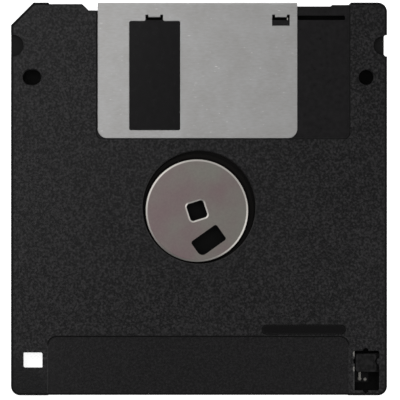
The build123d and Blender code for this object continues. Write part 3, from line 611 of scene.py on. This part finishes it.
# Skin grease lies in spots about 0.8 mm across.
grease = add_node(
    tree, "ShaderNodeTexNoise", inputs={"Vector": place, "Scale": 1 / 0.0008, "Detail": 1.0}
)
spots = add_node(
    tree, "ShaderNodeMapRange", inputs={"Value": grease.outputs["Fac"], "From Min": 0.4, "From Max": 0.65}
)
slider_colour = add_node(
    tree, "ShaderNodeMix", {"data_type": "RGBA"},
    {"Factor": spots.outputs["Result"], 6: srgb("#020202"), 7: srgb("#171617")},
)
slider_roughness = add_node(
    tree, "ShaderNodeMapRange",
    inputs={"Value": scuffs.outputs["Fac"], "To Min": 0.4, "To Max": 0.58},
)
slider_shader = add_node(
    tree, "ShaderNodeBsdfPrincipled",
    inputs={
        "Base Color": slider_colour.outputs[2],
        "Roughness": slider_roughness.outputs["Result"],
        "IOR": 1.53,
        "Specular IOR Level": 0.2,
    },
)
add_node(tree, "ShaderNodeOutputMaterial", inputs={"Surface": slider_shader.outputs[0]})
dress("write_protect_slider", slider_abs)

# The closing spring: hard-drawn stainless wire in two turns, laid loose between the halves. Its long
# arm pushes the shutter's corner tab, and its short arm is held at a post of the label-side half.

# Drawn stainless wire. The die leaves fine lines along it, and the forming pins burnish its bends.
spring_wire, tree = new_material("drawn spring wire")
along = add_node(tree, "ShaderNodeAttribute", {"attribute_name": "along"}).outputs["Fac"]
around = add_node(tree, "ShaderNodeAttribute", {"attribute_name": "around"}).outputs["Fac"]
wire_place = add_node(tree, "ShaderNodeCombineXYZ", inputs={"X": along, "Y": around})
# Die lines are about 0.01 mm wide. They are drawn as eight to the round, each about 4 mm long.
die_place = add_node(
    tree, "ShaderNodeMapping", inputs={"Vector": wire_place.outputs[0], "Scale": (1 / 0.004, 8.0, 1.0)}
)
die_lines = add_node(
    tree, "ShaderNodeTexNoise", inputs={"Vector": die_place.outputs[0], "Scale": 1.0, "Detail": 3.0}
)
wire_colour = add_node(
    tree, "ShaderNodeMix", {"data_type": "RGBA"},
    {"Factor": die_lines.outputs["Fac"], 6: srgb("#a5a19b"), 7: srgb("#cfcdc9")},
)
wire_roughness = add_node(
    tree, "ShaderNodeMapRange",
    inputs={"Value": die_lines.outputs["Fac"], "To Min": 0.38, "To Max": 0.22},
)
wire_shader = add_node(
    tree, "ShaderNodeBsdfPrincipled",
    inputs={
        "Base Color": wire_colour.outputs[2],
        "Metallic": 1.0,
        "Roughness": wire_roughness.outputs["Result"],
    },
)
add_node(tree, "ShaderNodeOutputMaterial", inputs={"Surface": wire_shader.outputs[0]})


def arc(centre, radius, start, sweep, drop=0.0, steps=24):
    """Points along an arc about centre, which goes down evenly by drop. Angles are in degrees."""
    points = []
    for i in range(steps + 1):
        angle = radians(start + sweep * i / steps)
        points.append(centre + Vector((radius * cos(angle), radius * sin(angle), -drop * i / steps)))
    return points


def bend(before, corner, after, radius):
    """Points round a bend at corner between two straight lengths of wire."""
    reach = radius * tan((corner - before).angle(after - corner) / 2)
    first = corner + reach * (before - corner).normalized()
    last = corner + reach * (after - corner).normalized()
    return interpolate_bezier(first, first.lerp(corner, 0.55), last.lerp(corner, 0.55), last, 9)


# The wire's route, from the hook at the shutter's tab, round the coil and to the hook at the post. Three
# half turns of the coil drop, so that the wire passes below itself, and the rest lies flat.
wire_radius = 0.000175
wire_sides = 20
coil_radius = 0.0022
coil_top = Vector((0.0343, 0.036, 0.001995))
coil_drop = 0.00069
bend_radius = 0.0005
tip_hook = 0.001
anchor_hook = 0.0012
tip = Vector((0.021225, 0.04245, coil_top.z))
anchor = Vector((0.041, 0.0424, coil_top.z - coil_drop))
to_tip = (tip - coil_top).xy
to_anchor = (anchor - coil_top).xy
tip_angle = degrees(atan2(to_tip.y, to_tip.x) - acos(coil_radius / to_tip.length))
anchor_angle = degrees(atan2(to_anchor.y, to_anchor.x) + acos(coil_radius / to_anchor.length))
dropping_sweep = 540
flat_sweep = (720 + tip_angle - anchor_angle - dropping_sweep) / 2
coil_base = coil_top - Vector((0, 0, coil_drop))
coil = (
    arc(coil_top, coil_radius, tip_angle, -flat_sweep, steps=10)
    + arc(coil_top, coil_radius, tip_angle - flat_sweep, -dropping_sweep, coil_drop, 90)[1:-1]
    + arc(coil_base, coil_radius, anchor_angle + flat_sweep, -flat_sweep, steps=10)
)
arm = (anchor - coil[-1]).normalized()
tip_end = tip + Vector((0, tip_hook, 0))
anchor_end = anchor + anchor_hook * Vector((arm.y, -arm.x, 0))
route = (
    [tip_end]
    + bend(tip_end, tip, coil[0], bend_radius)
    + coil
    + bend(coil[-1], anchor, anchor_end, bend_radius)
    + [anchor_end]
)

tube_tree = bpy.data.node_groups.new("wire along a route", "GeometryNodeTree")
tube_tree.interface.new_socket("Route", in_out="INPUT", socket_type="NodeSocketGeometry")
radius_in = tube_tree.interface.new_socket("Wire radius", in_out="INPUT", socket_type="NodeSocketFloat")
sides_in = tube_tree.interface.new_socket("Sides", in_out="INPUT", socket_type="NodeSocketInt")
tube_tree.interface.new_socket("Wire", in_out="OUTPUT", socket_type="NodeSocketGeometry")
given = add_node(tube_tree, "NodeGroupInput").outputs
centre_line = add_node(tube_tree, "GeometryNodeMeshToCurve", inputs={"Mesh": given["Route"]})
along_line = add_node(tube_tree, "GeometryNodeSplineParameter").outputs
measured_line = add_node(
    tube_tree, "GeometryNodeStoreNamedAttribute", {"data_type": "FLOAT", "domain": "POINT"},
    {"Geometry": centre_line.outputs[0], "Name": "along", "Value": along_line["Length"]},
)
section = add_node(
    tube_tree, "GeometryNodeCurvePrimitiveCircle",
    inputs={"Resolution": given["Sides"], "Radius": given["Wire radius"]},
)
measured_section = add_node(
    tube_tree, "GeometryNodeStoreNamedAttribute", {"data_type": "FLOAT", "domain": "POINT"},
    {"Geometry": section.outputs[0], "Name": "around", "Value": along_line["Factor"]},
)
tube = add_node(
    tube_tree, "GeometryNodeCurveToMesh",
    inputs={
        "Curve": measured_line.outputs[0],
        "Profile Curve": measured_section.outputs[0],
        "Fill Caps": True,
    },
)
whole = add_node(tube_tree, "GeometryNodeRealizeInstances", inputs={"Geometry": tube.outputs[0]})
finished = add_node(
    tube_tree, "GeometryNodeSetMaterial", inputs={"Geometry": whole.outputs[0], "Material": spring_wire}
)
add_node(tube_tree, "NodeGroupOutput", inputs={"Wire": finished.outputs[0]})

route_mesh = bpy.data.meshes.new("spring route")
route_mesh.from_pydata(route, [(i, i + 1) for i in range(len(route) - 1)], [])
carrier = bpy.data.objects.new("spring route", route_mesh)
bpy.context.scene.collection.objects.link(carrier)
modifier = carrier.modifiers.new("wire", "NODES")
modifier.node_group = tube_tree
modifier[radius_in.identifier] = wire_radius
modifier[sides_in.identifier] = wire_sides
evaluated = carrier.evaluated_get(bpy.context.evaluated_depsgraph_get())
spring_mesh = bpy.data.meshes.new_from_object(evaluated)
bpy.data.objects.remove(carrier)
# The sides of the wire are shaded round, and its two cut ends flat.
for face in spring_mesh.polygons:
    face.use_smooth = len(face.vertices) == 4
spring = bpy.data.objects.new("closing_spring", spring_mesh)
bpy.context.scene.collection.objects.link(spring)
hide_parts("shutter_spring")
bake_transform(spring)

# The hub-side half of the case: the same ABS and the same mould finish, with the hub hole, the locating
# holes and the shutter's guide slot. It is welded down over the disk.

dress("hub_side_shell", case_abs)

# The shutter: one strip of thin stainless sheet, stamped and folded into a channel round the edge of
# the case. Two tabs bent in from its hub side run in the guide slot.

# Rolled stainless sheet. The rolls leave a soft satin face with fine lines along the strip, which the
# eye sees as a silky grey, and use adds short bright scratches.
shutter_steel, tree = new_material("rolled stainless sheet")
place = add_node(tree, "ShaderNodeTexCoord").outputs["Object"]
# Rolling lines are about 0.01 mm apart. They are drawn 0.4 mm apart and 1.4 mm long.
roll_place = add_node(
    tree, "ShaderNodeMapping", inputs={"Vector": place, "Scale": (1 / 0.0014, 1 / 0.0004, 1 / 0.0004)}
)
roll_lines = add_node(
    tree, "ShaderNodeTexNoise",
    inputs={"Vector": roll_place.outputs[0], "Scale": 1.0, "Detail": 3.0, "Roughness": 0.6},
)
# Handling clouds it, about 6 mm apart.
cloud = add_node(
    tree, "ShaderNodeTexNoise",
    inputs={"Vector": place, "Scale": 1 / 0.006, "Detail": 5.0, "Roughness": 0.6},
)
cloud_and_lines = add_node(
    tree, "ShaderNodeMath", {"operation": "ADD"}, {0: cloud.outputs["Fac"], 1: roll_lines.outputs["Fac"]}
)
shade = add_node(
    tree, "ShaderNodeMapRange",
    inputs={"Value": cloud_and_lines.outputs[0], "From Min": 0.7, "From Max": 1.3},
)
sheet_tone = add_node(
    tree, "ShaderNodeMix", {"data_type": "RGBA"},
    {"Factor": shade.outputs["Result"], 6: srgb("#b2b0ae"), 7: srgb("#c0c0c0")},
)
# Scratches from the drive and the pocket are few, about 1.6 mm long and 0.1 mm wide. They are drawn
# 0.2 mm wide.
scratch_place = add_node(
    tree, "ShaderNodeMapping",
    inputs={
        "Vector": place,
        "Rotation": (0.0, 0.0, radians(-20)),
        "Scale": (1 / 0.0016, 1 / 0.00022, 1 / 0.0016),
    },
)
scratches = add_node(
    tree, "ShaderNodeTexNoise",
    inputs={"Vector": scratch_place.outputs[0], "Scale": 1.0, "Detail": 1.0},
)
scratched = add_node(
    tree, "ShaderNodeMapRange",
    inputs={"Value": scratches.outputs["Fac"], "From Min": 0.73, "From Max": 0.79},
)
sheet_colour = add_node(
    tree, "ShaderNodeMix", {"data_type": "RGBA"},
    {"Factor": scratched.outputs["Result"], 6: sheet_tone.outputs[2], 7: srgb("#f2f1ef")},
)
sheet_roughness = add_node(
    tree, "ShaderNodeMapRange",
    inputs={"Value": roll_lines.outputs["Fac"], "To Min": 0.46, "To Max": 0.56},
)
sheet_bump = add_node(
    tree, "ShaderNodeBump",
    inputs={"Strength": 0.25, "Distance": 0.000004, "Height": roll_lines.outputs["Fac"]},
)
sheet_shader = add_node(
    tree, "ShaderNodeBsdfPrincipled",
    inputs={
        "Base Color": sheet_colour.outputs[2],
        "Metallic": 1.0,
        "Roughness": sheet_roughness.outputs["Result"],
        "Normal": sheet_bump.outputs["Normal"],
    },
)
add_node(tree, "ShaderNodeOutputMaterial", inputs={"Surface": sheet_shader.outputs[0]})
dress("shutter", shutter_steel)

# The table and the studio: a plain pale table, a pale room, a large soft lamp and a smaller near one on
# either side, and a camera straight above on a long lens.

table_top, tree = new_material("matt white table")
place = add_node(tree, "ShaderNodeTexCoord").outputs["Object"]
# Wear makes it faintly uneven, about 25 mm apart.
table_wear = add_node(
    tree, "ShaderNodeTexNoise", inputs={"Vector": place, "Scale": 1 / 0.025, "Detail": 2.0}
)
table_colour = add_node(
    tree, "ShaderNodeMix", {"data_type": "RGBA"},
    {"Factor": table_wear.outputs["Fac"], 6: srgb("#f3f3f3"), 7: srgb("#f6f6f6")},
)
# It glows to the camera alone, so that it looks white and lights nothing.
seen = add_node(tree, "ShaderNodeLightPath").outputs["Is Camera Ray"]
glow = add_node(tree, "ShaderNodeMath", {"operation": "MULTIPLY"}, {0: seen, 1: 0.82})
table_shader = add_node(
    tree, "ShaderNodeBsdfPrincipled",
    inputs={
        "Base Color": table_colour.outputs[2],
        "Roughness": 0.9,
        "Emission Color": srgb("#ffffff"),
        "Emission Strength": glow.outputs[0],
    },
)
add_node(tree, "ShaderNodeOutputMaterial", inputs={"Surface": table_shader.outputs[0]})
# Its face lies just below the disk's, so that the two don't coincide.
table_reach = 2
table_face = -0.00002
table_corners = [
    (table_reach * x, table_reach * y, table_face) for x, y in ((-1, -1), (1, -1), (1, 1), (-1, 1))
]
table_mesh = bpy.data.meshes.new("table")
table_mesh.from_pydata(table_corners, [], [(0, 1, 2, 3)])
table_mesh.materials.append(table_top)
table = bpy.data.objects.new("table", table_mesh)
bpy.context.scene.collection.objects.link(table)

room = bpy.data.worlds.new("room")
room.use_nodes = True
room.node_tree.nodes.clear()
# The walls are brighter than the ceiling, and brightest towards a window beyond the far right corner.
ceiling_level = 0.24
direction = add_node(room.node_tree, "ShaderNodeTexCoord").outputs["Generated"]
rise = add_node(room.node_tree, "ShaderNodeSeparateXYZ", inputs={"Vector": direction}).outputs["Z"]
to_window = add_node(
    room.node_tree, "ShaderNodeVectorMath", {"operation": "DOT_PRODUCT"}, {0: direction, 1: (0.6, 0.8, 0.0)}
)
wall_level = add_node(
    room.node_tree, "ShaderNodeMapRange",
    inputs={"Value": to_window.outputs["Value"], "From Min": -1.0, "To Min": 0.22},
)
to_ceiling = add_node(
    room.node_tree, "ShaderNodeMapRange", inputs={"Value": rise, "From Min": 0.7, "From Max": 0.96}
)
wall_strength = add_node(
    room.node_tree, "ShaderNodeMix", {"data_type": "FLOAT"},
    {"Factor": to_ceiling.outputs["Result"], 2: wall_level.outputs["Result"], 3: ceiling_level},
)
wall_light = add_node(
    room.node_tree, "ShaderNodeBackground",
    inputs={"Color": srgb("#ffffff"), "Strength": wall_strength.outputs[0]},
)
wall_seen = add_node(
    room.node_tree, "ShaderNodeBackground", inputs={"Color": srgb("#ffffff"), "Strength": 1.0}
)
seen = add_node(room.node_tree, "ShaderNodeLightPath").outputs["Is Camera Ray"]
wall = add_node(
    room.node_tree, "ShaderNodeMixShader",
    inputs={0: seen, 1: wall_light.outputs[0], 2: wall_seen.outputs[0]},
)
add_node(room.node_tree, "ShaderNodeOutputWorld", inputs={"Surface": wall.outputs[0]})
bpy.context.scene.world = room


def add_lamp(name, place, size, power):
    """A square soft lamp, aimed at the middle of the disk."""
    data = bpy.data.lights.new(name, "AREA")
    data.shape = "SQUARE"
    data.size = size
    data.energy = power
    lamp = bpy.data.objects.new(name, data)
    lamp.location = place
    lamp.rotation_euler = (-Vector(place)).to_track_quat("-Z", "Y").to_euler()
    bpy.context.scene.collection.objects.link(lamp)


add_lamp("left lamp", (-0.19, 0.14, 0.17), size=0.26, power=0.06)
add_lamp("right lamp", (0.23, -0.13, 0.17), size=0.26, power=0.18)
add_lamp("near left lamp", (-0.105, 0.04, 0.1), size=0.2, power=0.12)
add_lamp("near right lamp", (0.12, -0.06, 0.1), size=0.12, power=0.022)

# The lens takes in 96 mm across at the hub-side face of the case.
lens = bpy.data.cameras.new("long lens")
lens.lens = 250
lens.sensor_width = 36
lens.clip_start = 0.01
view_width = 0.09566
camera = bpy.data.objects.new("camera", lens)
lens_distance = view_width * lens.lens / lens.sensor_width
camera.location = (0.00024, -0.00025, case_thickness + lens_distance)
bpy.context.scene.collection.objects.link(camera)
bpy.context.scene.camera = camera

bpy.context.scene.view_settings.view_transform = "Standard"
